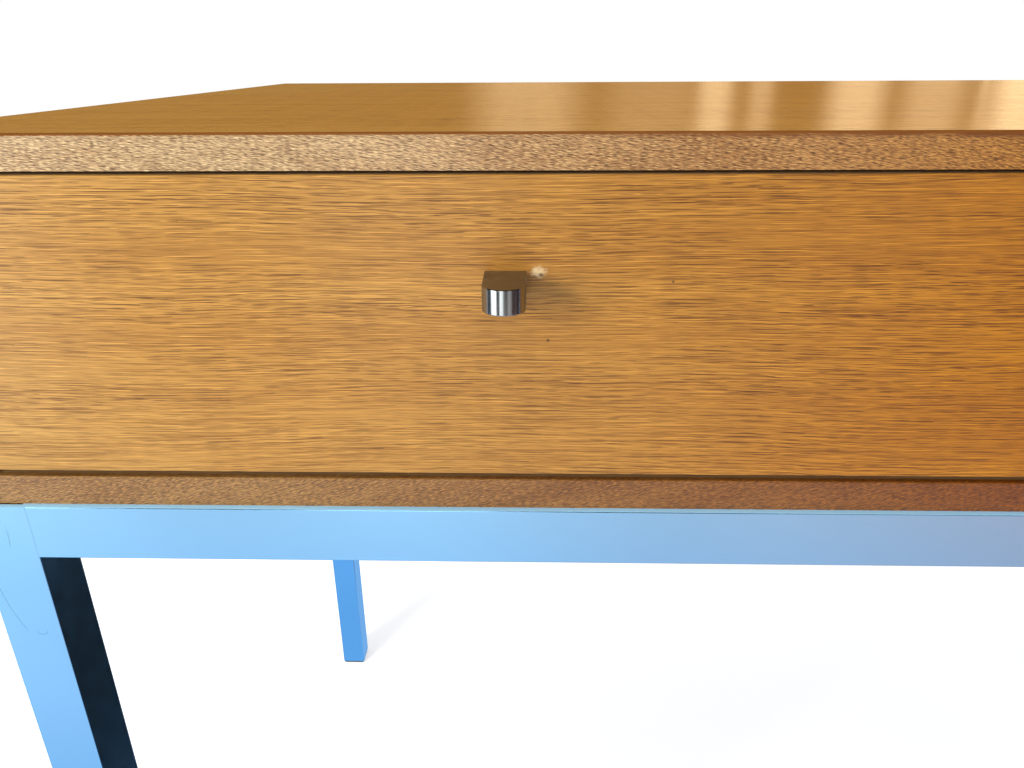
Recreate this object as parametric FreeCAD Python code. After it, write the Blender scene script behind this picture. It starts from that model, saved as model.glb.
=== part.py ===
"""Vintage sewing table: a wooden drawer case on a frame of square steel tube.

Units are millimetres and +Z is up. The front faces -Y. The model is built with y = 0 on the front
plane of the steel frame, and export() moves it so that the origin is the middle of the whole
table's footprint, knob included, at floor level.

Steel frame: four square legs with a rail between each pair, welded flush, on plastic feet.
Case: a top and a bottom board with solid lippings, two sides, a partition and a plywood back.
The top and the drawer fronts carry a face veneer.
Drawers: two equal dovetailed boxes side by side, each hung on two side runners. The left one has
a sliding tray for sewing things. A drawer is built about x = 0 and then moved into its bay.
"""

import FreeCAD, Part

import os

V = FreeCAD.Vector

# Driving dimensions.
TABLE_WIDTH = 884.0
TABLE_DEPTH = 505.0
TABLE_HEIGHT = 678.0

TUBE = 25.0              # side of the square leg tube
TUBE_WALL = 2.0
TUBE_CORNER = 0.5        # outer corner radius of the tube
FOOT_HEIGHT = 3.0        # flange of the plastic foot under the tube
FOOT_ROUND = 2.4
FOOT_PLUG_LENGTH = 16.0
FOOT_PLUG_PLAY = 0.1

BOARD = 12.5             # thickness of the top and the sides
BOTTOM_BOARD = 13.0
PARTITION = 18.0
LIPPING = 3.0            # solid edge strip round the boards
VENEER = 0.8
CASE_SETBACK = 2.7       # the frame's front and back stand proud of the case by this
CASE_OPENING = 120.2     # clear height between bottom and top board
TOP_ROUND = 1.4          # eased upper edge of the top
ARRIS = 0.6              # eased edge of the other boards
BACK_PANEL = 5.0
BACK_REBATE = 6.0
BACK_PANEL_PLAY = 0.2    # play round the back panel in its rebates

DOWEL_RADIUS = 3.0
DOWEL_IN_BOARD = 8.0
DOWEL_IN_SIDE = 14.0
HOLE_PLAY = 0.05         # radial play of every dowel and screw in its hole

DRAWER_GAP_TOP = 1.3
DRAWER_GAP_BOTTOM = 2.6
DRAWER_GAP_SIDE = 1.5
DRAWER_FRONT = 16.0      # thickness with its veneer
DRAWER_SIDE = 12.0
DRAWER_SIDE_HEIGHT = 100.0
DRAWER_SIDE_LIFT = 2.0   # the box sits this much above the front's lower edge
DRAWER_BOX_END = 470.0   # y of the back of the drawer box
DRAWER_BOTTOM = 4.0
DRAWER_BOTTOM_LIFT = 8.0
DRAWER_BOTTOM_GROOVE = 5.0
GROOVE_PLAY = 0.1
TAIL_LENGTH_FRONT = 10.0
TAIL_COUNT = 4
TAIL_SPACE = 10.0        # wood left between two tails at their roots
TAIL_FLARE = 2.0         # a tail is wider at its end than at its root by twice this

RUNNER_WIDTH = 6.5
RUNNER_HEIGHT = 10.0
RUNNER_START = 24.0
RUNNER_END = 480.0
RUNNER_PLAY = 0.3
RUNNER_ROUND = 1.0       # eased front corner
RUNNER_GROOVE = 5.6      # depth of the groove in the drawer side

TRAY_LENGTH = 215.0
TRAY_HEIGHT = 34.0
TRAY_WALL = 8.0
TRAY_DIVIDER = 5.0
TRAY_BOTTOM = 3.0
TRAY_SIDE_PLAY = 0.8
TRAY_START_PLAY = 1.0
TRAY_LIFT_PLAY = 0.3
TRAY_RIM_ROUND = 1.0
DIVIDER_BELOW_RIM = 2.0
SPOOL_ZONE = 66.0        # depth of the tray's row for thread spools
SPOOL_PEGS = 7
PEG_RADIUS = 2.5
PEG_PITCH = 50.0
PEG_TOP_BELOW_RIM = 5.0
PEG_ROUND = 1.6
LEDGE = 8.0              # square section of the strips that carry the tray
LEDGE_ROUND = 1.5
LEDGE_BELOW_RIM = 46.0

KNOB_WIDTH = 15.0
KNOB_HEIGHT = 9.0
KNOB_PROJECTION = 25.0   # from the drawer front's face
KNOB_ARRIS = 0.35
KNOB_BELOW_TOP = 51.7    # from the table's top surface down to the knob's middle
KNOB_SCREW_RADIUS = 2.0
KNOB_SCREW_IN_KNOB = 11.0
KNOB_SCREW_PLAY = 0.3    # radial play in the drawer front
KNOB_SCREW_HEAD_RADIUS = 3.6
KNOB_SCREW_HEAD_HEIGHT = 2.2
KNOB_COUNTERBORE_DEPTH = 3.2
KNOB_COUNTERBORE_RADIUS = 4.2
SCREW_SLOT = 1.0

PLATE_LEG = 46.0         # leg of the triangular corner plate
PLATE_THICKNESS = 3.0

PLATE_SCREW = {"length": 13.0, "radius": 2.2, "head_radius": 4.2, "head_height": 2.4}
RUNNER_SCREW = {"length": 12.0, "radius": 1.6, "head_radius": 3.2, "head_height": 2.0}
BACK_SCREW = {"length": 14.0, "radius": 1.4, "head_radius": 2.8, "head_height": 1.8}
BACK_SCREW_FROM_EDGE = 17.0
DOWEL_FROM_FRONT = 40.0
DOWEL_FROM_BACK = 45.0
RUNNER_SCREW_FROM_END = 60.0

# Sizes worked out from the driving dimensions.
HALF_WIDTH = TABLE_WIDTH / 2
FRAME_TOP = TABLE_HEIGHT - BOARD - CASE_OPENING - BOTTOM_BOARD
RAIL_BOTTOM = FRAME_TOP - TUBE
FRAME_INNER_HALF = HALF_WIDTH - TUBE
FRAME_INNER_BACK = TABLE_DEPTH - TUBE
INNER_HALF = HALF_WIDTH - BOARD
PARTITION_HALF = PARTITION / 2
BAY_WIDTH = INNER_HALF - PARTITION_HALF
BAY_HALF = BAY_WIDTH / 2
BAY_MIDDLE = (INNER_HALF + PARTITION_HALF) / 2
CASE_FRONT = CASE_SETBACK
CASE_BACK = TABLE_DEPTH - CASE_SETBACK
CORE_FRONT = CASE_FRONT + LIPPING
FLOOR_TOP = FRAME_TOP + BOTTOM_BOARD
TOP_UNDER = TABLE_HEIGHT - BOARD
BACK_FACE = CASE_BACK - BACK_PANEL

FRONT_LOW = FLOOR_TOP + DRAWER_GAP_BOTTOM
FRONT_HIGH = TOP_UNDER - DRAWER_GAP_TOP
FRONT_HALF = BAY_HALF - DRAWER_GAP_SIDE
FRONT_BACK = CASE_FRONT + DRAWER_FRONT
BOX_LOW = FRONT_LOW + DRAWER_SIDE_LIFT
BOX_HIGH = BOX_LOW + DRAWER_SIDE_HEIGHT
BOX_INNER = FRONT_HALF - DRAWER_SIDE
BOX_BACK_FACE = DRAWER_BOX_END - DRAWER_SIDE
PANEL_LOW = BOX_LOW + DRAWER_BOTTOM_LIFT
PANEL_HIGH = PANEL_LOW + DRAWER_BOTTOM
BACK_LOW = PANEL_HIGH + GROOVE_PLAY
RUNNER_LOW = (BOX_LOW + BOX_HIGH) / 2
RUNNER_HIGH = RUNNER_LOW + RUNNER_HEIGHT
LEDGE_HIGH = BOX_HIGH - LEDGE_BELOW_RIM + LEDGE
TRAY_LOW = LEDGE_HIGH + TRAY_LIFT_PLAY
TRAY_HIGH = TRAY_LOW + TRAY_HEIGHT
TRAY_HALF = BOX_INNER - TRAY_SIDE_PLAY
TRAY_FRONT = FRONT_BACK + TRAY_START_PLAY
TRAY_BACK = TRAY_FRONT + TRAY_LENGTH

KNOB_Z = TABLE_HEIGHT - KNOB_BELOW_TOP
KNOB_TIP = CASE_FRONT - KNOB_PROJECTION
FOOTPRINT_MIDDLE = (TABLE_DEPTH + KNOB_TIP) / 2

PARTS = "parts"


def export(name, shape, shift_x=0.0):
    """Writes one sub-part to parts/NAME.step, moved sideways and into the table's own frame."""
    moved = shape.copy()
    moved.translate(V(shift_x, -FOOTPRINT_MIDDLE, 0))
    moved.exportStep(os.path.join(PARTS, name + ".step"))


def block(x0, x1, y0, y1, z0, z1):
    """A box between two opposite corners."""
    return Part.makeBox(x1 - x0, y1 - y0, z1 - z0, V(x0, y0, z0))


def prism(points, direction):
    """A straight solid with the closed outline given by points."""
    wire = Part.makePolygon([V(*p) for p in points] + [V(*points[0])])
    return Part.Face(wire).extrude(V(*direction))


def rod(radius, start, axis, length):
    """A round bar of the given length from start along axis."""
    return Part.makeCylinder(radius, length, V(*start), V(*axis))


def mirrored(shape):
    """The same shape on the other side of the plane x = 0."""
    return shape.mirror(V(0, 0, 0), V(1, 0, 0))


def shifted(shape, dx):
    """A copy moved sideways."""
    moved = shape.copy()
    moved.translate(V(dx, 0, 0))
    return moved


def group(solids):
    """Separate solids kept together in one node."""
    return Part.makeCompound(solids)


def eased(shape, radius, wanted):
    """The shape with the edges that wanted(edge) picks rounded."""
    return shape.makeFillet(radius, [e for e in shape.Edges if wanted(e)])


def runs_along(edge, axis):
    """True if a straight edge is parallel to the axis numbered 0, 1 or 2."""
    if len(edge.Vertexes) != 2:
        return False
    step = edge.Vertexes[1].Point - edge.Vertexes[0].Point
    return abs(abs(step[axis]) - step.Length) < 1e-6


def edge_at(edge, axis, value):
    """True if the whole edge lies in the plane where that axis has that value."""
    return all(abs(v.Point[axis] - value) < 1e-6 for v in edge.Vertexes)


def countersunk_screw(tip, axis, length, radius, head_radius, head_height):
    """A wood screw whose flat head ends at tip + axis * length and carries a single slot."""
    direction = V(*axis)
    end = V(*tip) + direction * length
    head_start = end - direction * head_height
    shank = Part.makeCylinder(radius, length - head_height, V(*tip), direction)
    head = Part.makeCone(radius, head_radius, head_height, head_start, direction)
    slot_depth = head_height / 2
    slot = Part.makeBox(2 * head_radius, SCREW_SLOT, slot_depth)
    slot.translate(V(-head_radius, -SCREW_SLOT / 2, -slot_depth))
    turn = FreeCAD.Rotation(V(0, 0, 1), direction)
    slot.Placement = FreeCAD.Placement(end, turn).multiply(slot.Placement)
    return shank.fuse(head).cut(slot)


def countersunk_hole(tip, axis, length, radius, head_radius, head_height):
    """The hole that countersunk_screw() sits in, a little wider all round."""
    direction = V(*axis)
    start = V(*tip) - direction * HOLE_PLAY
    head_start = V(*tip) + direction * (length - head_height - HOLE_PLAY)
    bore = Part.makeCylinder(radius + HOLE_PLAY, length, start, direction)
    mouth = Part.makeCone(radius + HOLE_PLAY, head_radius + 2 * HOLE_PLAY,
                          head_height + HOLE_PLAY, head_start, direction)
    return bore.fuse(mouth)


def square_tube(x0, x1, y0, y1, z0, z1, axis):
    """A hollow tube along one axis with eased long edges and open ends."""
    outer = block(x0, x1, y0, y1, z0, z1)
    outer = eased(outer, TUBE_CORNER, lambda e: runs_along(e, axis))
    spans = [[x0 + TUBE_WALL, x1 - TUBE_WALL], [y0 + TUBE_WALL, y1 - TUBE_WALL],
             [z0 + TUBE_WALL, z1 - TUBE_WALL]]
    spans[axis] = ([x0, x1], [y0, y1], [z0, z1])[axis]
    return outer.cut(block(*spans[0], *spans[1], *spans[2]))


def make_legs():
    """Four legs with the plastic feet that plug their lower ends."""
    inset = TUBE_WALL + FOOT_PLUG_PLAY
    for side, x in (("left", -HALF_WIDTH), ("right", FRAME_INNER_HALF)):
        for end, y in (("front", 0.0), ("back", FRAME_INNER_BACK)):
            leg = square_tube(x, x + TUBE, y, y + TUBE, FOOT_HEIGHT, FRAME_TOP, 2)
            export(f"leg_{end}_{side}", leg)
            flange = block(x, x + TUBE, y, y + TUBE, 0, FOOT_HEIGHT)
            flange = eased(flange, FOOT_ROUND, lambda e: runs_along(e, 2))
            flange = eased(flange, FOOT_ROUND, lambda e: edge_at(e, 2, 0))
            plug = block(x + inset, x + TUBE - inset, y + inset, y + TUBE - inset,
                         FOOT_HEIGHT, FOOT_HEIGHT + FOOT_PLUG_LENGTH)
            export(f"foot_{end}_{side}", flange.fuse(plug).removeSplitter())


def make_rails():
    """Four rails between the legs, level with the legs' upper ends."""
    for name, y in (("front", 0.0), ("back", FRAME_INNER_BACK)):
        rail = square_tube(-FRAME_INNER_HALF, FRAME_INNER_HALF, y, y + TUBE, RAIL_BOTTOM, FRAME_TOP, 0)
        export("rail_" + name, rail)
    left = square_tube(-HALF_WIDTH, -FRAME_INNER_HALF, TUBE, FRAME_INNER_BACK, RAIL_BOTTOM, FRAME_TOP, 1)
    export("rail_left", left)
    export("rail_right", mirrored(left))


def plate_screw_tips():
    """The pointed ends of the screws that hold the case to the frame, inside the bottom board."""
    inset = PLATE_LEG / 3
    x = FRAME_INNER_HALF - inset
    z = FRAME_TOP - PLATE_THICKNESS + PLATE_SCREW["length"]
    return [(sx * x, y, z) for sx in (-1, 1) for y in (TUBE + inset, FRAME_INNER_BACK - inset)]


def plate_screw_holes():
    """The holes for those screws, through the plates and into the bottom board."""
    return [countersunk_hole(tip, (0, 0, -1), **PLATE_SCREW) for tip in plate_screw_tips()]


def make_corner_plates():
    """Triangular plates welded in the frame's corners, and the screws up into the case."""
    low = FRAME_TOP - PLATE_THICKNESS
    plates = []
    for sx in (-1, 1):
        for y, sy in ((TUBE, 1), (FRAME_INNER_BACK, -1)):
            corner = (sx * FRAME_INNER_HALF, y, low)
            along_x = (sx * (FRAME_INNER_HALF - PLATE_LEG), y, low)
            along_y = (sx * FRAME_INNER_HALF, y + sy * PLATE_LEG, low)
            plates.append(prism([corner, along_x, along_y], (0, 0, PLATE_THICKNESS)))
    holes = group(plate_screw_holes())
    export("corner_plates", group([plate.cut(holes) for plate in plates]))
    screws = [countersunk_screw(tip, (0, 0, -1), **PLATE_SCREW) for tip in plate_screw_tips()]
    export("case_screws", group(screws))


def case_dowels(play):
    """Dowels that join the sides and the partition to both boards; play widens them to holes."""
    made = []
    length = DOWEL_IN_BOARD + DOWEL_IN_SIDE + 2 * play
    for x in (BOARD / 2 - HALF_WIDTH, 0.0, HALF_WIDTH - BOARD / 2):
        for y in (DOWEL_FROM_FRONT, TABLE_DEPTH / 2, TABLE_DEPTH - DOWEL_FROM_BACK):
            for plane, up in ((FLOOR_TOP, 1), (TOP_UNDER, -1)):
                start = (x, y, plane - up * (DOWEL_IN_BOARD + play))
                made.append(rod(DOWEL_RADIUS + play, start, (0, 0, up), length))
    return made


def lipped_board(name, low, high, round_radius, holes, veneer=0.0):
    """A core with mitred lippings on its front and sides, cut from one eased slab, and any veneer."""
    slab = block(-HALF_WIDTH, HALF_WIDTH, CASE_FRONT, CASE_BACK, low, high)
    slab = eased(slab, round_radius, lambda e: edge_at(e, 2, high) or runs_along(e, 2))
    slab = slab.cut(group(holes))
    core_high = high - veneer
    if veneer:
        skin = block(-HALF_WIDTH, HALF_WIDTH, CASE_FRONT, CASE_BACK, core_high, high)
        export(name + "_veneer", slab.common(skin))
    half = HALF_WIDTH - LIPPING
    export(name + "_panel", slab.common(block(-half, half, CORE_FRONT, CASE_BACK, low, core_high)))
    up = (0, 0, core_high - low)
    front = prism([(-HALF_WIDTH, CASE_FRONT, low), (HALF_WIDTH, CASE_FRONT, low),
                   (half, CORE_FRONT, low), (-half, CORE_FRONT, low)], up)
    left = prism([(-HALF_WIDTH, CASE_FRONT, low), (-half, CORE_FRONT, low),
                  (-half, CASE_BACK, low), (-HALF_WIDTH, CASE_BACK, low)], up)
    export(name + "_lipping_front", slab.common(front))
    export(name + "_lipping_left", slab.common(left))
    export(name + "_lipping_right", slab.common(mirrored(left)))


def at_both_sides_of_bays(shapes):
    """Shapes drawn at a bay's left side, repeated at the left and right sides of both bays."""
    pair = shapes + [mirrored(s) for s in shapes]
    return [shifted(s, bay * BAY_MIDDLE) for bay in (-1, 1) for s in pair]


def runner_screw_tips():
    """The pointed ends of one runner's screws, in the wood beside the bay's left side."""
    x = -BAY_HALF + RUNNER_WIDTH - RUNNER_SCREW["length"]
    z = (RUNNER_LOW + RUNNER_HIGH) / 2
    ends = (RUNNER_SCREW_FROM_END, TABLE_DEPTH / 2, TABLE_DEPTH - RUNNER_SCREW_FROM_END)
    return [(x, y, z) for y in ends]


def runner_screw_holes():
    """The holes for one runner's screws."""
    return [countersunk_hole(tip, (1, 0, 0), **RUNNER_SCREW) for tip in runner_screw_tips()]


def back_screw_tips():
    """The pointed ends of the back panel's screws, in the sides and the partition."""
    side_x = INNER_HALF + BACK_REBATE / 2
    y = CASE_BACK - BACK_SCREW["length"]
    low = FLOOR_TOP + BACK_SCREW_FROM_EDGE
    high = TOP_UNDER - BACK_SCREW_FROM_EDGE
    return [(x, y, z) for x in (-side_x, 0.0, side_x) for z in (low, (low + high) / 2, high)]


def make_case_uprights():
    """Sides, partition, their front strips, the back panel, the dowels and all their screws."""
    back_holes = [countersunk_hole(tip, (0, 1, 0), **BACK_SCREW) for tip in back_screw_tips()]
    runner_holes = at_both_sides_of_bays(runner_screw_holes())
    holes = group(case_dowels(HOLE_PLAY) + back_holes + runner_holes)
    rebate_half = INNER_HALF + BACK_REBATE

    side = block(-HALF_WIDTH, -INNER_HALF, CORE_FRONT, CASE_BACK, FLOOR_TOP, TOP_UNDER)
    side = side.cut(block(-rebate_half, -INNER_HALF, BACK_FACE, CASE_BACK, FLOOR_TOP, TOP_UNDER))
    side = side.cut(holes)
    export("side_panel_left", side)
    export("side_panel_right", mirrored(side))
    partition = block(-PARTITION_HALF, PARTITION_HALF, CORE_FRONT, BACK_FACE, FLOOR_TOP, TOP_UNDER)
    export("partition", partition.cut(holes))

    strips = []
    for low_x, high_x in ((-HALF_WIDTH, -INNER_HALF), (-PARTITION_HALF, PARTITION_HALF),
                          (INNER_HALF, HALF_WIDTH)):
        strip = block(low_x, high_x, CASE_FRONT, CORE_FRONT, FLOOR_TOP, TOP_UNDER)
        strips.append(eased(strip, ARRIS, lambda e: runs_along(e, 2) and edge_at(e, 1, CASE_FRONT)))
    export("case_edge_strips", group(strips))

    half = rebate_half - BACK_PANEL_PLAY
    back = block(-half, half, BACK_FACE, CASE_BACK, FLOOR_TOP + BACK_PANEL_PLAY, TOP_UNDER - BACK_PANEL_PLAY)
    export("back_panel", back.cut(group(back_holes)))
    screws = [countersunk_screw(tip, (0, 1, 0), **BACK_SCREW) for tip in back_screw_tips()]
    export("back_screws", group(screws))
    export("case_dowels", group(case_dowels(0.0)))


def make_runners():
    """Hardwood strips on the sides of both bays that carry the drawers by their grooves."""
    inner = -BAY_HALF + RUNNER_WIDTH
    runner = block(-BAY_HALF, inner, RUNNER_START, RUNNER_END, RUNNER_LOW, RUNNER_HIGH)
    runner = eased(runner, RUNNER_ROUND, lambda e: edge_at(e, 1, RUNNER_START) and edge_at(e, 0, inner))
    runner = runner.cut(group(runner_screw_holes()))
    for number, placed in enumerate(at_both_sides_of_bays([runner]), 1):
        export(f"runner_{number}", placed)
    screws = [countersunk_screw(tip, (1, 0, 0), **RUNNER_SCREW) for tip in runner_screw_tips()]
    export("runner_screws", group(at_both_sides_of_bays(screws)))


def tails(root_y, end_y, low, high, count):
    """Dovetails of the left drawer side, as prisms through its whole thickness."""
    pitch = (high - low) / count
    root_half = pitch / 2 - TAIL_SPACE / 2
    end_half = root_half + TAIL_FLARE
    made = []
    for k in range(count):
        z = low + pitch * (k + 0.5)
        outline = [(-FRONT_HALF, root_y, z - root_half), (-FRONT_HALF, root_y, z + root_half),
                   (-FRONT_HALF, end_y, z + end_half), (-FRONT_HALF, end_y, z - end_half)]
        made.append(prism(outline, (DRAWER_SIDE, 0, 0)))
    return made


def front_tails():
    """Half-blind tails that hold the left side to the drawer front."""
    return tails(FRONT_BACK, FRONT_BACK - TAIL_LENGTH_FRONT, BOX_LOW, BOX_HIGH, TAIL_COUNT)


def back_tails():
    """Through tails that hold the left side to the drawer back."""
    return tails(BOX_BACK_FACE, DRAWER_BOX_END, BACK_LOW, BOX_HIGH, TAIL_COUNT)


def runner_groove():
    """The channel in the left drawer side that rides on the runner, open at the back."""
    return block(-FRONT_HALF, -FRONT_HALF + RUNNER_GROOVE, RUNNER_START - RUNNER_PLAY, DRAWER_BOX_END,
                 RUNNER_LOW - RUNNER_PLAY, RUNNER_HIGH + RUNNER_PLAY)


def bottom_groove():
    """The space that the drawer bottom slides into, in the front and both sides."""
    half = BOX_INNER + DRAWER_BOTTOM_GROOVE
    return block(-half, half, FRONT_BACK - DRAWER_BOTTOM_GROOVE, DRAWER_BOX_END,
                 PANEL_LOW - GROOVE_PLAY, PANEL_HIGH + GROOVE_PLAY)


def make_drawer_box(name, shift_x):
    """Drawer front with veneer, dovetailed sides and back, and bottom."""
    front = block(-FRONT_HALF, FRONT_HALF, CASE_FRONT, FRONT_BACK, FRONT_LOW, FRONT_HIGH)
    front = eased(front, ARRIS, lambda e: edge_at(e, 1, CASE_FRONT))
    sockets = front_tails() + [mirrored(tail) for tail in front_tails()]
    screw_hole = rod(KNOB_SCREW_RADIUS + KNOB_SCREW_PLAY, (0, CASE_FRONT, KNOB_Z), (0, 1, 0), DRAWER_FRONT)
    counterbore = rod(KNOB_COUNTERBORE_RADIUS, (0, FRONT_BACK - KNOB_COUNTERBORE_DEPTH, KNOB_Z),
                      (0, 1, 0), KNOB_COUNTERBORE_DEPTH)
    front = front.cut(group(sockets)).cut(bottom_groove()).cut(screw_hole).cut(counterbore)
    skin = block(-FRONT_HALF, FRONT_HALF, CASE_FRONT, CASE_FRONT + VENEER, FRONT_LOW, FRONT_HIGH)
    export(name + "_drawer_veneer", front.common(skin), shift_x)
    export(name + "_drawer_front", front.cut(skin), shift_x)

    side = block(-FRONT_HALF, -BOX_INNER, FRONT_BACK, DRAWER_BOX_END, BOX_LOW, BOX_HIGH)
    end_zone = block(-FRONT_HALF, -BOX_INNER, BOX_BACK_FACE, DRAWER_BOX_END, BACK_LOW, BOX_HIGH)
    side = side.cut(end_zone).fuse(front_tails() + back_tails()).removeSplitter()
    side = side.cut(runner_groove()).cut(bottom_groove())
    export(name + "_drawer_side_left", side, shift_x)
    export(name + "_drawer_side_right", mirrored(side), shift_x)

    back = block(-FRONT_HALF, FRONT_HALF, BOX_BACK_FACE, DRAWER_BOX_END, BACK_LOW, BOX_HIGH)
    cuts = back_tails() + [runner_groove()]
    back = back.cut(group(cuts)).cut(group([mirrored(cut) for cut in cuts]))
    export(name + "_drawer_back", back, shift_x)

    half = BOX_INNER + DRAWER_BOTTOM_GROOVE - 2 * GROOVE_PLAY
    start = FRONT_BACK - DRAWER_BOTTOM_GROOVE + 2 * GROOVE_PLAY
    bottom = block(-half, half, start, DRAWER_BOX_END, PANEL_LOW, PANEL_HIGH)
    export(name + "_drawer_bottom", bottom, shift_x)


def make_knob(name, shift_x):
    """A bar with a round nose, standing straight out of the drawer front, and its screw."""
    half = KNOB_WIDTH / 2
    shoulder = KNOB_TIP + half
    low = KNOB_Z - KNOB_HEIGHT / 2
    nose = Part.Arc(V(half, shoulder, low), V(0, KNOB_TIP, low), V(-half, shoulder, low))
    sides = [Part.LineSegment(V(-half, shoulder, low), V(-half, CASE_FRONT, low)),
             Part.LineSegment(V(-half, CASE_FRONT, low), V(half, CASE_FRONT, low)),
             Part.LineSegment(V(half, CASE_FRONT, low), V(half, shoulder, low))]
    outline = Part.Wire([s.toShape() for s in [nose] + sides])
    knob = Part.Face(outline).extrude(V(0, 0, KNOB_HEIGHT))
    knob = eased(knob, KNOB_ARRIS, lambda e: not runs_along(e, 2) and not edge_at(e, 1, CASE_FRONT))
    depth = KNOB_SCREW_IN_KNOB + HOLE_PLAY
    hole = rod(KNOB_SCREW_RADIUS + HOLE_PLAY, (0, CASE_FRONT - depth, KNOB_Z), (0, 1, 0), depth)
    export(name + "_knob", knob.cut(hole), shift_x)

    tip = CASE_FRONT - KNOB_SCREW_IN_KNOB
    seat = FRONT_BACK - KNOB_COUNTERBORE_DEPTH
    head_end = seat + KNOB_SCREW_HEAD_HEIGHT
    shank = rod(KNOB_SCREW_RADIUS, (0, tip, KNOB_Z), (0, 1, 0), seat - tip)
    head = rod(KNOB_SCREW_HEAD_RADIUS, (0, seat, KNOB_Z), (0, 1, 0), KNOB_SCREW_HEAD_HEIGHT)
    head = eased(head, KNOB_SCREW_HEAD_HEIGHT / 3, lambda e: edge_at(e, 1, head_end))
    slot_half = SCREW_SLOT / 2
    slot = block(-KNOB_SCREW_HEAD_RADIUS, KNOB_SCREW_HEAD_RADIUS, head_end - SCREW_SLOT, head_end,
                 KNOB_Z - slot_half, KNOB_Z + slot_half)
    export(name + "_knob_screw", shank.fuse(head).cut(slot), shift_x)


def make_tray_ledges(name, shift_x):
    """The two strips inside the drawer that the tray slides on."""
    inner = -BOX_INNER + LEDGE
    ledge = block(-BOX_INNER, inner, FRONT_BACK, BOX_BACK_FACE, LEDGE_HIGH - LEDGE, LEDGE_HIGH)
    ledge = eased(ledge, LEDGE_ROUND, lambda e: runs_along(e, 1) and edge_at(e, 0, inner))
    export(name + "_tray_ledges", group([ledge, mirrored(ledge)]), shift_x)


def make_tray(shift_x):
    """The sliding tray: four walls, a bottom, dividers, and pegs for thread spools."""
    floor_top = TRAY_LOW + TRAY_BOTTOM
    inner_half = TRAY_HALF - TRAY_WALL
    inner_front = TRAY_FRONT + TRAY_WALL
    inner_back = TRAY_BACK - TRAY_WALL
    peg_y = inner_front + SPOOL_ZONE / 2
    first_peg = -PEG_PITCH * (SPOOL_PEGS - 1) / 2
    pegs_at = [(first_peg + PEG_PITCH * k, peg_y) for k in range(SPOOL_PEGS)]

    def rim(edge):
        return edge_at(edge, 2, TRAY_HIGH)

    bottom = block(-TRAY_HALF, TRAY_HALF, TRAY_FRONT, TRAY_BACK, TRAY_LOW, floor_top)
    holes = [rod(PEG_RADIUS + HOLE_PLAY, (x, y, TRAY_LOW), (0, 0, 1), TRAY_BOTTOM) for x, y in pegs_at]
    export("tray_bottom", bottom.cut(group(holes)), shift_x)

    for where, y0, y1 in (("front", TRAY_FRONT, inner_front), ("back", inner_back, TRAY_BACK)):
        wall = block(-TRAY_HALF, TRAY_HALF, y0, y1, floor_top, TRAY_HIGH)
        export("tray_" + where, eased(wall, TRAY_RIM_ROUND, rim), shift_x)
    side = block(-TRAY_HALF, -inner_half, inner_front, inner_back, floor_top, TRAY_HIGH)
    side = eased(side, TRAY_RIM_ROUND, lambda e: rim(e) and runs_along(e, 1))
    export("tray_side_left", side, shift_x)
    export("tray_side_right", mirrored(side), shift_x)

    divider_high = TRAY_HIGH - DIVIDER_BELOW_RIM
    divider_front = inner_front + SPOOL_ZONE
    divider_back = divider_front + TRAY_DIVIDER
    dividers = [block(-inner_half, inner_half, divider_front, divider_back, floor_top, divider_high)]
    half = TRAY_DIVIDER / 2
    for x in (-inner_half / 2, 0.0, inner_half / 2):
        dividers.append(block(x - half, x + half, divider_back, inner_back, floor_top, divider_high))
    export("tray_dividers", group(dividers), shift_x)

    peg_high = TRAY_HIGH - PEG_TOP_BELOW_RIM
    pegs = [rod(PEG_RADIUS, (x, y, TRAY_LOW), (0, 0, 1), peg_high - TRAY_LOW) for x, y in pegs_at]
    pegs = [eased(peg, PEG_ROUND, lambda e: edge_at(e, 2, peg_high)) for peg in pegs]
    export("spool_pegs", group(pegs), shift_x)


def main():
    os.makedirs(PARTS, exist_ok=True)
    make_legs()
    make_rails()
    make_corner_plates()
    dowel_holes = case_dowels(HOLE_PLAY)
    lipped_board("bottom", FRAME_TOP, FLOOR_TOP, ARRIS, dowel_holes + plate_screw_holes())
    lipped_board("top", TOP_UNDER, TABLE_HEIGHT, TOP_ROUND, dowel_holes, VENEER)
    make_case_uprights()
    make_runners()
    for name, shift_x in (("left", -BAY_MIDDLE), ("right", BAY_MIDDLE)):
        make_drawer_box(name, shift_x)
        make_knob(name, shift_x)
    make_tray_ledges("left", -BAY_MIDDLE)
    make_tray(-BAY_MIDDLE)


main()
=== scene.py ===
import math

import bpy
from mathutils import Matrix, Vector


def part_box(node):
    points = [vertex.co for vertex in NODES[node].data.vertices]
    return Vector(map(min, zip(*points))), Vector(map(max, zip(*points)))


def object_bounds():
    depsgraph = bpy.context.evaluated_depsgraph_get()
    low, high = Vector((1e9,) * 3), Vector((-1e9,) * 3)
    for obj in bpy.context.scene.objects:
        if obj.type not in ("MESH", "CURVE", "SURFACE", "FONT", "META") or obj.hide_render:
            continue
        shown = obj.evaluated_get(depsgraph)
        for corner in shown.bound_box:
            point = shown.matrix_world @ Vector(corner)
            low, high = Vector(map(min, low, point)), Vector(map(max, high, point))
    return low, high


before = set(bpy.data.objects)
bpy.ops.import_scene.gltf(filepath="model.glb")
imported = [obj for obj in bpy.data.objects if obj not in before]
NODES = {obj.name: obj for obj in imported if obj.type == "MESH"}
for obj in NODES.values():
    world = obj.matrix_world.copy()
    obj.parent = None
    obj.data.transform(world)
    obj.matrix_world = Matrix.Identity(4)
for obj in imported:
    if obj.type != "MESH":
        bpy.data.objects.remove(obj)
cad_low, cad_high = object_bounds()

LEG_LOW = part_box("leg_front_left")[0]
TABLE_LEFT = LEG_LOW.x
FRAME_FRONT = LEG_LOW.y
LIPPING_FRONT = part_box("top_lipping_front")[0].y
FRAME_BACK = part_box("leg_back_left")[1].y
TABLE_TOP = cad_high.z
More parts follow.
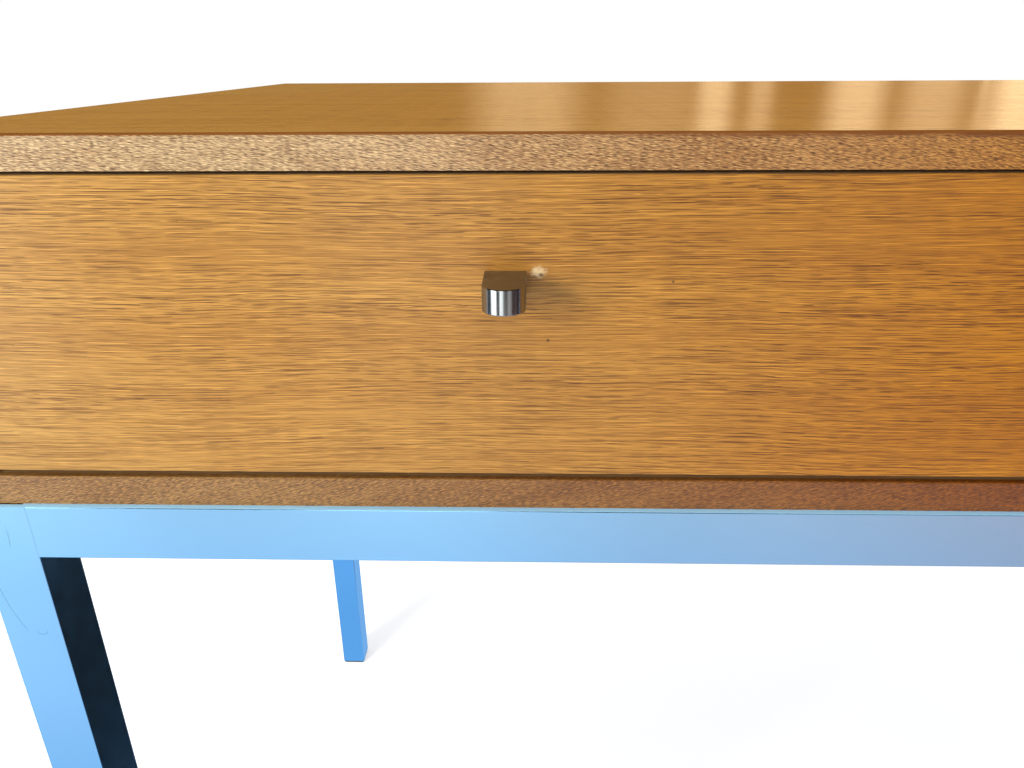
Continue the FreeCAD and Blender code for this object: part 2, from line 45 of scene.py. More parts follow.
KNOB_LOW, KNOB_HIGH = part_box("left_knob")
KNOB_MIDDLE = (KNOB_LOW + KNOB_HIGH) / 2

MM = 0.001


# ---------------------------------------------------------------- camera

CAMERA_FROM_LEFT = 0.2317     # from the table's left face
CAMERA_FROM_FRONT = 0.2643    # in front of the steel frame
CAMERA_ABOVE_TOP = 0.0234
CAMERA_PITCH = 0.4049         # radians, downwards
CAMERA_YAW = -0.0255
CAMERA_ROLL = -0.0056
CAMERA_LENS = 26.99


def make_camera():
    """A close view of the left drawer from just above the top."""
    yaw, pitch, roll = CAMERA_YAW, CAMERA_PITCH, CAMERA_ROLL
    forward = Vector((math.sin(yaw) * math.cos(pitch), math.cos(yaw) * math.cos(pitch), -math.sin(pitch)))
    level_right = Vector((math.cos(yaw), -math.sin(yaw), 0))
    level_up = level_right.cross(forward)
    right = math.cos(roll) * level_right + math.sin(roll) * level_up
    up = -math.sin(roll) * level_right + math.cos(roll) * level_up
    data = bpy.data.cameras.new("camera")
    data.lens = CAMERA_LENS
    data.sensor_width = 36.0
    data.clip_start = 0.01
    camera = bpy.data.objects.new("camera", data)
    bpy.context.scene.collection.objects.link(camera)
    turn = Matrix((right, up, -forward)).transposed().to_4x4()
    place = Vector((TABLE_LEFT + CAMERA_FROM_LEFT, FRAME_FRONT - CAMERA_FROM_FRONT,
                    TABLE_TOP + CAMERA_ABOVE_TOP))
    camera.matrix_world = Matrix.Translation(place) @ turn
    bpy.context.scene.camera = camera


# ---------------------------------------------------------------- shader helpers

class Shader:
    """A node material under construction, with short calls for the nodes that it needs."""

    def __init__(self, name):
        self.material = bpy.data.materials.new(name)
        self.material.use_nodes = True
        self.tree = self.material.node_tree
        self.surface = self.tree.nodes["Principled BSDF"]
        self.position = self.add("ShaderNodeTexCoord").outputs["Object"]

    def add(self, kind, inputs=None, **settings):
        """A new node, with its settings made and its inputs set to numbers or linked to sockets."""
        made = self.tree.nodes.new(kind)
        for key, value in settings.items():
            setattr(made, key, value)
        for key, value in (inputs or {}).items():
            self.feed(made.inputs[key], value)
        return made

    def feed(self, socket, value):
        """Links the value to the socket if it is a socket, and otherwise sets it."""
        if isinstance(value, bpy.types.NodeSocket):
            self.tree.links.new(value, socket)
        else:
            socket.default_value = value

    def math(self, operation, a, b=0.0, clamp=False):
        """One step of arithmetic on two numbers or sockets."""
        made = self.add("ShaderNodeMath", {0: a, 1: b}, operation=operation, use_clamp=clamp)
        return made.outputs[0]

    def stretch(self, scale, vector=None, turn=(0, 0, 0), offset=(0, 0, 0)):
        """The position scaled along each axis, so that a texture's grain is drawn out."""
        source = self.position if vector is None else vector
        made = self.add("ShaderNodeMapping", {"Vector": source, "Scale": scale, "Rotation": turn,
                                              "Location": offset})
        return made.outputs["Vector"]

    def noise(self, vector, detail=2.0, roughness=0.5, flat=False):
        """Smooth noise, about one lump per unit of the vector; flat noise reads only its x and y."""
        made = self.add("ShaderNodeTexNoise", {"Vector": vector, "Scale": 1.0, "Detail": detail,
                                               "Roughness": roughness},
                        noise_dimensions="2D" if flat else "3D")
        return made.outputs["Fac"]

    def range(self, value, low, high, to_low=0.0, to_high=1.0):
        """Maps low..high to to_low..to_high, held at the ends."""
        made = self.add("ShaderNodeMapRange", {"Value": value, "From Min": low, "From Max": high,
                                               "To Min": to_low, "To Max": to_high})
        return made.outputs["Result"]

    def mix(self, factor, a, b, blend="MIX"):
        """Blends two colours, each a tuple or a socket."""
        made = self.add("ShaderNodeMix", data_type="RGBA", blend_type=blend)
        self.feed(made.inputs["Factor"], factor)
        for socket, value in zip([s for s in made.inputs if s.type == "RGBA"], (a, b)):
            self.feed(socket, value if isinstance(value, bpy.types.NodeSocket) else (*value[:3], 1.0))
        return [s for s in made.outputs if s.type == "RGBA"][0]

    def axis(self, number):
        """The position's x, y or z, in metres."""
        return self.add("ShaderNodeSeparateXYZ", {"Vector": self.position}).outputs[number]

    def distance(self, point, scale=(1, 1, 1)):
        """Distance from a point, with each axis weighted."""
        moved = self.add("ShaderNodeVectorMath", {0: self.position, 1: tuple(-c for c in point)},
                         operation="ADD").outputs[0]
        weighted = self.add("ShaderNodeVectorMath", {0: moved, 1: scale}, operation="MULTIPLY").outputs[0]
        return self.add("ShaderNodeVectorMath", {0: weighted}, operation="LENGTH").outputs["Value"]

    def bump(self, height, distance, strength):
        """A surface normal that follows the height; distance is the height's depth in metres."""
        inputs = {"Height": height, "Distance": distance, "Strength": strength}
        return self.add("ShaderNodeBump", inputs).outputs["Normal"]

    def normal_along(self, axis):
        """How far the surface faces along one axis, from -1 to 1."""
        normal = self.add("ShaderNodeNewGeometry").outputs["Normal"]
        return self.add("ShaderNodeSeparateXYZ", {"Vector": normal}).outputs[axis]

    def finish(self, **sockets):
        """Sets or links the surface's sockets, named with spaces as underscores."""
        for key, value in sockets.items():
            socket = self.surface.inputs[key.replace("_", " ")]
            if isinstance(value, tuple) and socket.type == "RGBA":
                value = (*value, 1.0)
            self.feed(socket, value)
        return self.material


# ---------------------------------------------------------------- wood

PORE_BROWN = (0.105, 0.036, 0.008)
KNOT_BROWN = (0.10, 0.04, 0.012)
ARRIS_BROWN = (0.20, 0.058, 0.006)


def grain_plane(shader, grain, seed, slant=0.0):
    """Coordinates u along the grain and v across it, for the flat faces of a board.

    v adds the other two axes, so that one rule serves a board's face and its edges.
    """
    parts = shader.add("ShaderNodeSeparateXYZ", {"Vector": shader.position}).outputs
    u = parts["XYZ".index(grain)]
    across = [parts[k] for k in range(3) if k != "XYZ".index(grain)]
    v = shader.math("ADD", across[0], across[1])
    plane = shader.add("ShaderNodeCombineXYZ", {0: u, 1: v}).outputs[0]
    return shader.stretch((1, 1, 1), plane, turn=(0, 0, slant), offset=(seed, seed * 0.37, 0))


def wavy(shader, plane, slow=0.006, quick=0.0005):
    """The plane pushed a little across the grain, so that the grain isn't ruler straight."""
    bend = shader.noise(shader.stretch((5.0, 9.0, 1.0), plane), detail=1.0, flat=True)
    ripple = shader.noise(shader.stretch((34.0, 70.0, 1.0), plane), detail=1.0, flat=True)
    push = shader.math("ADD", shader.math("MULTIPLY", bend, slow), shader.math("MULTIPLY", ripple, quick))
    shift = shader.add("ShaderNodeCombineXYZ", {1: push}).outputs[0]
    return shader.add("ShaderNodeVectorMath", {0: plane, 1: shift}, operation="ADD").outputs[0]


def dashes(shader, plane, per_metre, length, thickness, offset):
    """Scattered thin dashes along u: per_metre gives cells along u and v, sizes are parts of a cell."""
    place = shader.stretch((*per_metre, 1.0), plane, offset=(offset, offset * 1.7, 0))
    cells = shader.add("ShaderNodeTexVoronoi", {"Vector": place, "Scale": 1.0, "Randomness": 1.0},
                       voronoi_dimensions="2D")
    away = shader.add("ShaderNodeVectorMath", {0: place, 1: cells.outputs["Position"]},
                      operation="SUBTRACT").outputs[0]
    shaped = shader.add("ShaderNodeVectorMath", {0: away, 1: (1 / length, 1 / thickness, 0.0)},
                        operation="MULTIPLY").outputs[0]
    reach = shader.add("ShaderNodeVectorMath", {0: shaped}, operation="LENGTH").outputs["Value"]
    weight = shader.add("ShaderNodeSeparateColor", {"Color": cells.outputs["Color"]}).outputs[0]
    weight = shader.range(weight, 0.05, 0.75, 0.15, 1.0)
    return shader.math("MULTIPLY", shader.range(reach, 0.5, 1.0, 1.0, 0.0), weight)


def straight_grain(shader, grain, pale, deep, seed, pores=1.0):
    """Colour and height of straight-grained wood: bands, fibres, pale streaks and dark pores."""
    plane = wavy(shader, grain_plane(shader, grain, seed))
    bands = shader.noise(shader.stretch((1.3, 60.0, 1.0), plane), detail=3.0, roughness=0.6, flat=True)
    fibres = shader.noise(shader.stretch((16.0, 1050.0, 1.0), plane), detail=3.0, roughness=0.7, flat=True)
    colour = shader.mix(shader.range(bands, 0.25, 0.75, 0.1, 0.75), pale, deep)
    colour = shader.mix(shader.range(fibres, 0.42, 0.66, 0.0, 0.85), colour, tuple(c * 0.85 for c in deep))
    light = tuple(min(1.0, c * 1.35) for c in pale)
    streaks = dashes(shader, plane, (36.0, 700.0), 0.52, 0.13, 3.0)
    colour = shader.mix(shader.math("MULTIPLY", streaks, 0.7), colour, light)
    gather = shader.noise(shader.stretch((6.0, 60.0, 1.0), plane), detail=1.0, flat=True)
    gather = shader.range(gather, 0.3, 0.65, 0.5, 1.0)
    coarse = dashes(shader, plane, (34.0, 500.0), 0.50, 0.090, 11.0)
    middle = dashes(shader, plane, (58.0, 800.0), 0.50, 0.115, 5.0)
    fine = dashes(shader, plane, (120.0, 1300.0), 0.50, 0.18, 8.0)
    dark = shader.math("MAXIMUM", coarse, shader.math("MULTIPLY", middle, 0.9))
    dark = shader.math("MAXIMUM", dark, shader.math("MULTIPLY", fine, 0.75))
    dark = shader.math("MULTIPLY", dark, shader.math("MULTIPLY", gather, pores))
    colour = shader.mix(dark, colour, PORE_BROWN)
    height = shader.math("SUBTRACT", shader.math("MULTIPLY", fibres, 0.25), dark)
    return colour, height


def amber_and_painted_light(shader, start):
    """How far the wood has turned amber: 0 at the left end, most at the middle, less to the right. The paler
    left end is partly the wood's own tone and partly painted light from the left.
    """
    rise = shader.range(shader.axis(0), start, 0.0)
    fall = shader.range(shader.axis(0), 0.02, 0.25, 0.0, 0.45)
    return shader.math("SUBTRACT", rise, fall, clamp=True)


def face_veneer(name, roughness, coat):
    """Golden veneer with its grain along X, paler at the left end and more amber to the right; the paler
    left end is partly painted light from the left.
    """
    shader = Shader(name)
    colour, height = straight_grain(shader, "X", (0.645, 0.368, 0.090), (0.440, 0.212, 0.036), 2.0, 1.2)
    # Paler left end: partly the wood's own tone, partly painted light from the left.
    amber_and_light_level = amber_and_painted_light(shader, TABLE_LEFT)
    patch = shader.noise(shader.stretch((4.0, 6.0, 6.0)), detail=1.0)
    amber = shader.math("ADD", amber_and_light_level, shader.range(patch, 0.3, 0.7, -0.12, 0.12), clamp=True)
    colour = shader.mix(amber, colour, (0.93, 0.61, 0.0), "MULTIPLY")
    colour = specks(shader, colour)
    if name == "drawer_veneer":
        colour = knob_chip(shader, colour)
    else:
        front = LIPPING_FRONT + 1.0 * MM
        edge = shader.range(shader.axis(1), front, front + 1.2 * MM, 0.9, 0.0)
        colour = shader.mix(edge, colour, ARRIS_BROWN)
    gloss = shader.range(height, -1.0, 0.3, roughness + 0.22, roughness)
    return shader.finish(Base_Color=colour, Roughness=gloss, Normal=shader.bump(height, 0.00006, 0.6),
                         Coat_Weight=coat, Coat_Roughness=0.22)


def specks(shader, colour):
    """A few small dark dots, as pin knots leave."""
    cells = shader.add("ShaderNodeTexVoronoi", {"Vector": shader.stretch((34.0, 34.0, 34.0)), "Scale": 1.0})
    dots = shader.range(cells.outputs["Distance"], 0.010, 0.022, 1.0, 0.0)
    return shader.mix(shader.math("MULTIPLY", dots, 0.8), colour, KNOT_BROWN)


CHIP_FROM_KNOB = Vector((0.0117, 0.0, -0.0006))    # from the knob's middle line and top
CHIP_RADIUS = 0.0029
PIN_KNOT_FROM_KNOB = Vector((0.0155, 0.0, -0.0263))


def knob_chip(shader, colour):
    """The pale chipped spot beside the knob's upper right corner, with its dark centre."""
    corner = Vector((KNOB_MIDDLE.x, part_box("left_drawer_veneer")[0].y, KNOB_HIGH.z))
    chip = corner + CHIP_FROM_KNOB
    ragged = shader.noise(shader.stretch((620.0, 620.0, 900.0)), detail=3.0)
    reach = shader.math("ADD", shader.distance(chip, (0.75, 0.3, 1.0)),
                        shader.math("MULTIPLY", ragged, 0.0034))
    pale = shader.range(reach, CHIP_RADIUS - 0.0002, CHIP_RADIUS + 0.0014, 0.68, 0.0)
    colour = shader.mix(pale, colour, (0.95, 0.74, 0.42))
    speck = shader.distance(chip + Vector((0.0010, 0, -0.0009)), (0.8, 0.3, 1.0))
    colour = shader.mix(shader.range(speck, 0.0004, 0.0009, 0.8, 0.0), colour, (0.12, 0.06, 0.02))
    pin = shader.distance(corner + PIN_KNOT_FROM_KNOB)
    return shader.mix(shader.range(pin, 0.0004, 0.0008, 0.85, 0.0), colour, KNOT_BROWN)


def lipping_wood(name, pale, deep, slant, arris=0.0):
    """Solid brown wood whose short flecks slant across the narrow edge."""
    shader = Shader(name)
    plane = wavy(shader, grain_plane(shader, "X", 4.0, slant), 0.004, 0.0008)
    ripple = shader.noise(shader.stretch((17.0, 90.0, 1.0), plane), detail=3.0, flat=True)
    fibres = shader.noise(shader.stretch((150.0, 1500.0, 1.0), plane), detail=3.0, roughness=0.75, flat=True)
    colour = shader.mix(shader.range(ripple, 0.32, 0.68), pale, deep)
    colour = shader.mix(shader.range(fibres, 0.38, 0.64, 0.0, 0.7), colour, tuple(c * 0.66 for c in deep))
    dark = shader.math("MAXIMUM", dashes(shader, plane, (330.0, 1500.0), 0.5, 0.22, 2.0),
                       shader.math("MULTIPLY", dashes(shader, plane, (520.0, 2200.0), 0.5, 0.3, 9.0), 0.7))
    colour = shader.mix(shader.math("MULTIPLY", dark, 0.95), colour, (0.11, 0.046, 0.018))
    bright = dashes(shader, plane, (360.0, 1700.0), 0.45, 0.22, 6.0)
    colour = shader.mix(shader.math("MULTIPLY", bright, 0.9), colour, tuple(min(1, c * 1.5) for c in pale))
    # Paler left end, more amber towards the middle: partly the wood's own tone, partly painted light from
    # the left.
    amber_and_light_level = amber_and_painted_light(shader, TABLE_LEFT + 0.12)
    colour = shader.mix(amber_and_light_level, colour, (0.74, 0.38, 0.0), "MULTIPLY")
    if arris:
        edge = shader.range(shader.axis(2), TABLE_TOP - 2.6 * MM, TABLE_TOP - 1.4 * MM)
        uneven = shader.range(shader.noise(shader.stretch((30.0, 30.0, 400.0)), detail=2.0), 0.25, 0.5)
        uneven = shader.math("MULTIPLY", uneven, shader.range(amber_and_light_level, 0.25, 0.75, 0.15, arris))
        colour = shader.mix(shader.math("MULTIPLY", edge, uneven), colour, ARRIS_BROWN)
    height = shader.math("SUBTRACT", shader.math("MULTIPLY", fibres, 0.6), dark)
    return shader.finish(Base_Color=colour, Roughness=0.38, Coat_Weight=0.4, Coat_Roughness=0.25,
                         Normal=shader.bump(height, 0.00014, 0.8))


def plain_wood(name, grain, pale, deep, seed, roughness=0.55, pores=0.6):
    """Sealed wood for the sides and the drawers' insides."""
    shader = Shader(name)
    colour, height = straight_grain(shader, grain, pale, deep, seed, pores)
    return shader.finish(Base_Color=colour, Roughness=roughness, Normal=shader.bump(height, 0.00006, 0.6))


PLY = 1.35 * MM


def plywood(name, grain, thin_axis, face):
    """Plywood: a pale face with thin dark glue lines in its edges."""
    shader = Shader(name)
    colour, height = straight_grain(shader, grain, (0.60, 0.45, 0.27), (0.48, 0.32, 0.17), 6.0, 0.35)
    depth = shader.math("SUBTRACT", shader.axis(thin_axis), face)
    ply = shader.math("FRACT", shader.math("MULTIPLY", depth, 1 / PLY))
    facing = shader.math("ABSOLUTE", shader.normal_along(thin_axis))
    edge_only = shader.range(facing, 0.3, 0.7, 1.0, 0.0)
    line = shader.math("MULTIPLY", shader.range(ply, 0.75, 0.9), edge_only)
    colour = shader.mix(line, colour, (0.24, 0.13, 0.06))
    return shader.finish(Base_Color=colour, Roughness=0.62, Normal=shader.bump(height, 0.00005, 0.6))


# ---------------------------------------------------------------- metal and plastic

SKY = (0.325, 0.665, 0.985)
# centre, radius, and the heights between which each scratch shows
SCRATCHES = [
    ((TABLE_LEFT + 0.075, 0.0, 0.500), 0.072, 0.468, 0.505),
    ((TABLE_LEFT + 0.0165, 0.0, 0.4685), 0.0022, 0.462, 0.4690),
    ((TABLE_LEFT - 0.030, 0.0, 0.520), 0.0445, 0.512, 0.522),
    ((TABLE_LEFT + 0.060, 0.0, 0.330), 0.050, 0.318, 0.352),
]


def frame_metal(name):
    """Satin light blue metal with faint marks and fine scratches; where it faces up it is paler, rougher and
    less metallic, a painted highlight on the top faces.
    """
    shader = Shader(name)
    cloud = shader.noise(shader.stretch((9.0, 9.0, 9.0)), detail=2.0)
    fine = shader.noise(shader.stretch((160.0, 160.0, 160.0)), detail=3.0, roughness=0.7)
    colour = shader.mix(shader.range(cloud, 0.3, 0.7), SKY, tuple(c * 0.94 for c in SKY))
    smudge = shader.noise(shader.stretch((60.0, 60.0, 60.0), offset=(3, 3, 3)), detail=4.0, roughness=0.65)
    worn = shader.range(smudge, 0.62, 0.76, 0.0, 0.12)
    colour = shader.mix(worn, colour, (0.22, 0.46, 0.68))
    scratch = scratches(shader)
    colour = shader.mix(scratch, colour, (0.16, 0.36, 0.58))
    # Painted highlight: up-facing faces are drawn paler and matte so that the top light brightens them.
    up_face_painted_highlight = shader.range(shader.normal_along(2), 0.5, 0.9)
    colour = shader.mix(up_face_painted_highlight, colour, (0.38, 0.72, 0.98))
    metallic = shader.range(up_face_painted_highlight, 0.0, 1.0, 1.0, 0.1)
    rough = shader.math("ADD", shader.range(fine, 0.3, 0.7, 0.17, 0.22), shader.math("MULTIPLY", up_face_painted_highlight, 0.4))
    normal = shader.bump(shader.math("SUBTRACT", shader.math("MULTIPLY", fine, 0.2), scratch), 0.00003, 0.25)
    return shader.finish(Base_Color=colour, Metallic=metallic, Roughness=rough, Normal=normal)


def scratches(shader):
    """Curved scratches: thin arcs of large circles, broken up and kept to a few patches."""
    found = 0.0
    for centre, radius, low, high in SCRATCHES:
        reach = shader.distance(centre, (1.0, 0.0, 1.0))
        off = shader.math("ABSOLUTE", shader.math("SUBTRACT", reach, radius))
        line = shader.range(off, 0.00008, 0.00032, 0.6, 0.0)
        height = shader.axis(2)
        line = shader.math("MULTIPLY", line, shader.range(height, low, low + 0.002))
        line = shader.math("MULTIPLY", line, shader.range(height, high - 0.002, high, 1.0, 0.0))
        found = shader.math("MAXIMUM", line, found)
    return found


def brushed_steel(name, roughness=0.2, brush_axis="Z"):
    """Steel with fine brush lines, in tones darker than bare steel: partly painted shade for the knob's
    shaded sides.
    """
    shader = Shader(name)
    scale = [4200.0, 4200.0, 4200.0]
    scale["XYZ".index(brush_axis)] = 60.0
    lines = shader.noise(shader.stretch(scale), detail=2.0)
    # Dark steel tones: partly the metal's own colour, partly painted shade on the knob's sides.
    colour = shader.mix(shader.range(lines, 0.3, 0.7), (0.47, 0.48, 0.48), (0.34, 0.35, 0.35))
    rough = shader.range(lines, 0.3, 0.7, roughness - 0.05, roughness + 0.08)
    return shader.finish(Base_Color=colour, Metallic=1.0, Roughness=rough, Specular_Tint=(0.62, 0.70, 1.0),
                         Normal=shader.bump(lines, 0.00001, 0.5))


def moulded_plastic(name):
    """Dark plastic with a fine moulded grain."""
    shader = Shader(name)
    grain = shader.noise(shader.stretch((2600.0, 2600.0, 2600.0)), detail=2.0)
    colour = shader.mix(grain, (0.012, 0.022, 0.036), (0.030, 0.046, 0.064))
    return shader.finish(Base_Color=colour, Roughness=0.55, Normal=shader.bump(grain, 0.00003, 0.5))


def paint_nodes():
    """Gives every CAD node its material."""
    warm = ((0.60, 0.335, 0.115), (0.43, 0.20, 0.055))
    box_wood = ((0.72, 0.52, 0.29), (0.58, 0.38, 0.18))
    hard = ((0.56, 0.39, 0.22), (0.42, 0.26, 0.13))
    metal = frame_metal("frame_metal")
    steel = brushed_steel("screw_steel", 0.32, "Y")
    # The top lipping's pale tone is partly the wood's colour and partly painted highlight from the light on
    # the left.
    top_lip = lipping_wood("top_lipping", (0.74, 0.510, 0.265), (0.54, 0.325, 0.145), 0.14, 1.0)
    # Painted shade: the lower lipping is the same wood as the top lipping, drawn darker because it sits
    # lower, in shadow.
    painted_shade_lip = lipping_wood("low_lipping", (0.42, 0.218, 0.060), (0.28, 0.122, 0.022), -0.30)
    side = plain_wood("side_wood", "Y", *warm, 11.0, 0.38, 0.9)
    drawer_long = plain_wood("drawer_wood_long", "Y", *box_wood, 3.0)
    drawer_wide = plain_wood("drawer_wood_wide", "X", *box_wood, 4.0)
    core = plain_wood("core_board", "X", (0.47, 0.31, 0.16), (0.36, 0.21, 0.10), 8.0)
    hardwood = plain_wood("hardwood", "Y", *hard, 5.0, 0.5, 0.4)
    rules = [
        (("leg_", "rail_", "corner_plates"), metal),
        (("foot_",), moulded_plastic("foot_plastic")),
        (("top_veneer",), face_veneer("top_veneer", 0.23, 0.6)),
        (("left_drawer_veneer", "right_drawer_veneer"), face_veneer("drawer_veneer", 0.40, 0.2)),
        (("top_lipping",), top_lip),
        (("bottom_lipping", "case_edge_strips"), painted_shade_lip),
        (("side_panel",), side),
        (("left_knob_screw", "right_knob_screw", "case_screws", "back_screws", "runner_screws"), steel),
        (("left_knob", "right_knob"), brushed_steel("knob_steel", 0.16, "Z")),
        (("back_panel",), plywood("back_plywood", "X", 1, FRAME_BACK)),
        (("left_drawer_bottom", "right_drawer_bottom", "tray_bottom"), plywood("thin_plywood", "X", 2, 0.0)),
        (("left_drawer_side", "right_drawer_side", "tray_side"), drawer_long),
        (("left_drawer_front", "right_drawer_front", "left_drawer_back", "right_drawer_back", "tray_"),
         drawer_wide),
        (("top_panel", "bottom_panel", "partition"), core),
        (("runner_", "left_tray_ledges", "case_dowels", "spool_pegs"), hardwood),
    ]
    for name, piece in NODES.items():
        material = next(m for starts, m in rules if name.startswith(starts))
        piece.data.materials.clear()
        piece.data.materials.append(material)


# ---------------------------------------------------------------- studio

BLACK = (0.0, 0.0, 0.0)
FLOOR_SIZE = 12.0
FLOOR_GLOW = 0.60
FLOOR_IN_METAL = 0.95     # strength of the floor that the frame reflects
ROOM_FILL = 0.26
ROOM_IN_GLOSS = 0.05


def card(name, width, height, place, material):
    """A flat staged panel that faces up. Its material measures positions from its own centre."""
    half_w, half_h = width / 2, height / 2
    mesh = bpy.data.meshes.new(name)
    corners = [(-half_w, -half_h, 0), (half_w, -half_h, 0), (half_w, half_h, 0), (-half_w, half_h, 0)]
    mesh.from_pydata(corners, [], [(0, 1, 2, 3)])
    mesh.materials.append(material)
    panel = bpy.data.objects.new(name, mesh)
    panel.location = place
    bpy.context.scene.collection.objects.link(panel)
    return panel


def reflection_only(panel):
    """Keeps a studio panel out of every ray but reflections."""
    panel.visible_camera = False
    panel.visible_diffuse = False
    panel.visible_shadow = False
    panel.visible_transmission = False
    return panel


def area_light(name, place, target, size, power, colour=(1, 1, 1)):
    """A rectangular lamp at a place, turned to its target, that reflections don't show."""
    data = bpy.data.lights.new(name, "AREA")
    data.shape = "RECTANGLE"
    data.size, data.size_y = size
    data.energy = power
    data.color = colour
    lamp = bpy.data.objects.new(name, data)
    lamp.location = place
    lamp.rotation_euler = (Vector(target) - Vector(place)).to_track_quat("-Z", "Y").to_euler()
    lamp.visible_glossy = False
    bpy.context.scene.collection.objects.link(lamp)


def make_world():
    """White behind the object, and a dimmer room in reflections and fill light."""
    world = bpy.data.worlds.new("studio")
    bpy.context.scene.world = world
    world.use_nodes = True
    tree = world.node_tree
    tree.nodes.clear()
    path = tree.nodes.new("ShaderNodeLightPath")
    seen = tree.nodes.new("ShaderNodeBackground")
    seen.inputs["Color"].default_value = (1, 1, 1, 1)
    room = tree.nodes.new("ShaderNodeBackground")
    room.inputs["Color"].default_value = (0.95, 0.97, 1.0, 1)
    room.inputs["Strength"].default_value = ROOM_FILL
    dim = tree.nodes.new("ShaderNodeBackground")
    dim.inputs["Color"].default_value = (0.80, 0.72, 0.60, 1)
    dim.inputs["Strength"].default_value = ROOM_IN_GLOSS
    mixes = [tree.nodes.new("ShaderNodeMixShader") for _ in range(2)]
    output = tree.nodes.new("ShaderNodeOutputWorld")
    tree.links.new(path.outputs["Is Glossy Ray"], mixes[0].inputs[0])
    tree.links.new(room.outputs[0], mixes[0].inputs[1])
    tree.links.new(dim.outputs[0], mixes[0].inputs[2])
    tree.links.new(path.outputs["Is Camera Ray"], mixes[1].inputs[0])
    tree.links.new(mixes[0].outputs[0], mixes[1].inputs[1])
    tree.links.new(seen.outputs[0], mixes[1].inputs[2])
    tree.links.new(mixes[1].outputs[0], output.inputs["Surface"])


WINDOW_WALL = 2.4         # y of the wall of windows that the polished top reflects
WALL_TONE = (0.135, 0.066, 0.014)
WALL_STRENGTH = 3.4
# x, half width and strength of each soft bright bar on it
WINDOW_BARS = [(-0.22, 0.160, 0.17), (0.21, 0.140, 0.09), (0.44, 0.050, 0.34), (0.60, 0.035, 0.22),
               (0.934, 0.085, 0.33), (1.20, 0.090, 0.22), (1.37, 0.012, 0.30), (1.52, 0.100, 0.52)]

SCREEN_RADIUS = 1.5       # of a half circle round the left knob
SCREEN_LOW = 0.05
SCREEN_HIGH = 1.1
SCREEN_STEPS = 48
# from and to, in degrees round the knob, and strength of each bright strip that it reflects
SCREEN_STRIPS = [(-66, -38, 3.5), (-20, -2, 2.4), (20, 42, 0.5)]
SCREEN_GREY = 0.02


def window_wall():
    """A dim brown wall with soft golden window bars behind the table."""
    shader = Shader("window_wall")
    total = 0.0
    for x, half, strength in WINDOW_BARS:
        off = shader.math("ABSOLUTE", shader.math("SUBTRACT", shader.axis(0), x))
        total = shader.math("ADD", shader.range(off, 0.6 * half, 1.5 * half, strength, 0.0), total)
    colour = shader.mix(total, WALL_TONE, (1.0, 0.72, 0.40))
    shader.finish(Base_Color=BLACK, Emission_Color=colour, Emission_Strength=WALL_STRENGTH)
    wall = card("window_wall", 6.0, 1.6, (0, 0, 0), shader.material)
    upright = Matrix.Translation((0.4, WINDOW_WALL, 0.9)) @ Matrix.Rotation(math.pi / 2, 4, "X")
    wall.data.transform(upright)
    reflection_only(wall)


def front_screen():
    """A dark curved screen with bright strips in front: the steel knob's streaks, the wood's sheen."""
    shader = Shader("front_screen")
    dx = shader.math("SUBTRACT", shader.axis(0), KNOB_MIDDLE.x)
    dy = shader.math("SUBTRACT", KNOB_MIDDLE.y, shader.axis(1))
    angle = shader.math("MULTIPLY", shader.math("ARCTAN2", dx, dy), 180 / math.pi)
    total = SCREEN_GREY
    for low, high, strength in SCREEN_STRIPS:
        inside = shader.math("MULTIPLY", shader.range(angle, low - 1, low + 1),
                             shader.range(angle, high - 1, high + 1, 1.0, 0.0))
        total = shader.math("ADD", shader.math("MULTIPLY", inside, strength), total)
    shader.finish(Base_Color=BLACK, Emission_Color=(0.95, 1.0, 1.0), Emission_Strength=total)
    points = []
    for k in range(SCREEN_STEPS + 1):
        turn = math.pi * (k / SCREEN_STEPS - 0.5)
        x = KNOB_MIDDLE.x + SCREEN_RADIUS * math.sin(turn)
        y = KNOB_MIDDLE.y - SCREEN_RADIUS * math.cos(turn)
        points += [(x, y, SCREEN_LOW), (x, y, SCREEN_HIGH)]
    mesh = bpy.data.meshes.new("front_screen")
    mesh.from_pydata(points, [], [(2 * k, 2 * k + 2, 2 * k + 3, 2 * k + 1) for k in range(SCREEN_STEPS)])
    mesh.materials.append(shader.material)
    screen = bpy.data.objects.new("front_screen", mesh)
    bpy.context.scene.collection.objects.link(screen)
    reflection_only(screen)


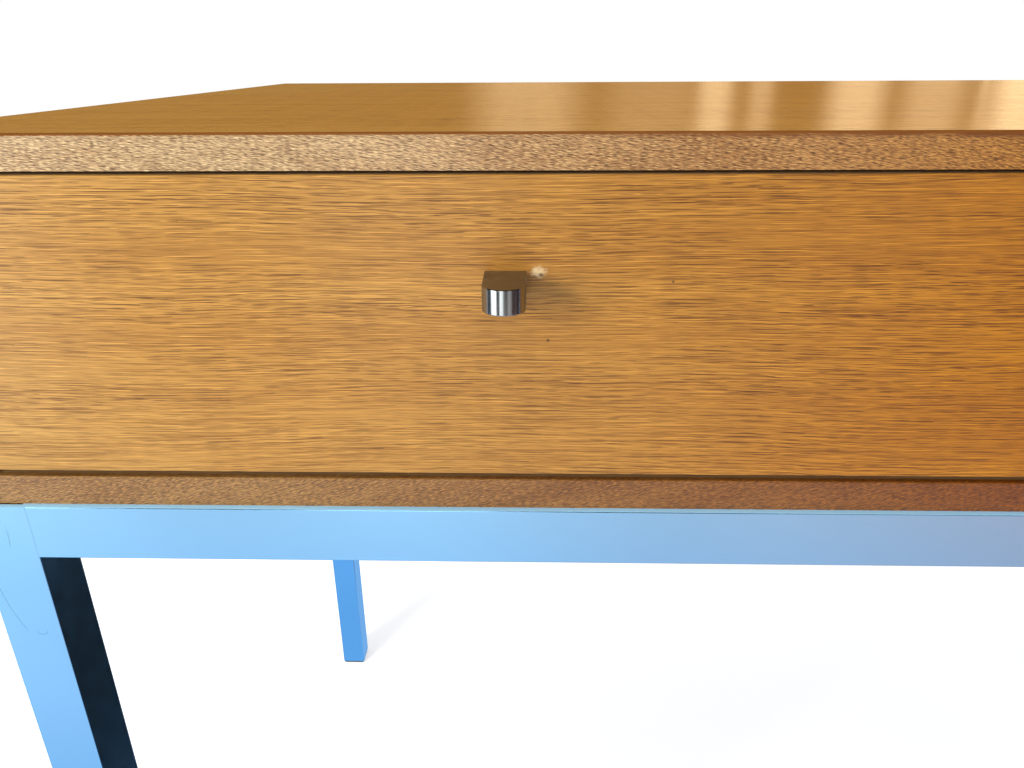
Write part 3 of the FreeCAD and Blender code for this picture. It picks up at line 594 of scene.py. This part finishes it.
def floor_in_metal():
    """The floor as the frame reflects it: warmer and dimmer to the right, bluer near the table."""
    shader = Shader("floor_in_metal")
    colour = shader.mix(shader.range(shader.axis(0), 0.0, 1.35), (1.05, 0.97, 0.96), (1.15, 0.55, 0.46))
    near = shader.range(shader.axis(1), -0.84, -0.60)
    colour = shader.mix(near, colour, (0.74, 0.85, 1.0), "MULTIPLY")
    close = shader.range(shader.axis(1), -0.40, -0.10)
    colour = shader.mix(close, colour, (0.42, 0.70, 0.92), "MULTIPLY")
    shader.finish(Base_Color=BLACK, Emission_Color=colour, Emission_Strength=FLOOR_IN_METAL)
    reflection_only(card("floor_in_metal", 3.8, 2.75, (-0.35, -0.275, 0.003), shader.material))


def make_studio():
    """Pale glowing floor, soft light from the left, and the panels that the gloss reflects."""
    floor = Shader("pale_floor")
    tint = floor.noise(floor.stretch((3.0, 3.0, 3.0)), detail=2.0)
    floor.finish(Base_Color=floor.mix(tint, (0.84, 0.84, 0.84), (0.88, 0.88, 0.88)), Roughness=0.9,
                 Emission_Color=(1.0, 1.0, 1.0), Emission_Strength=FLOOR_GLOW)
    card("floor", FLOOR_SIZE, FLOOR_SIZE, (0, 0, 0), floor.material).visible_diffuse = False
    grey = Shader("bounce_floor").finish(Base_Color=(0.55, 0.55, 0.55), Roughness=1.0)
    bounce = card("bounce_floor", FLOOR_SIZE, FLOOR_SIZE, (0, 0, -0.002), grey)
    bounce.visible_camera = False
    bounce.visible_glossy = False
    black = Shader("shade").finish(Base_Color=BLACK, Roughness=1.0)
    reflection_only(card("under_table_shade", 0.62, 0.96, (0.04, 0.22, 0.004), black))
    window_wall()
    front_screen()
    floor_in_metal()
    target = (-0.15, FRAME_FRONT, 0.58)
    area_light("key", (-1.45, -1.35, 0.95), target, (0.6, 0.8), 30, (1.0, 0.985, 0.96))
    area_light("top", (-0.2, -0.6, 2.6), (0, 0, 0), (3.0, 3.0), 36)
    area_light("front", (0.6, -2.6, 1.2), target, (2.0, 1.2), 5)


make_camera()
make_world()
paint_nodes()
make_studio()
bpy.context.scene.view_settings.view_transform = "Standard"
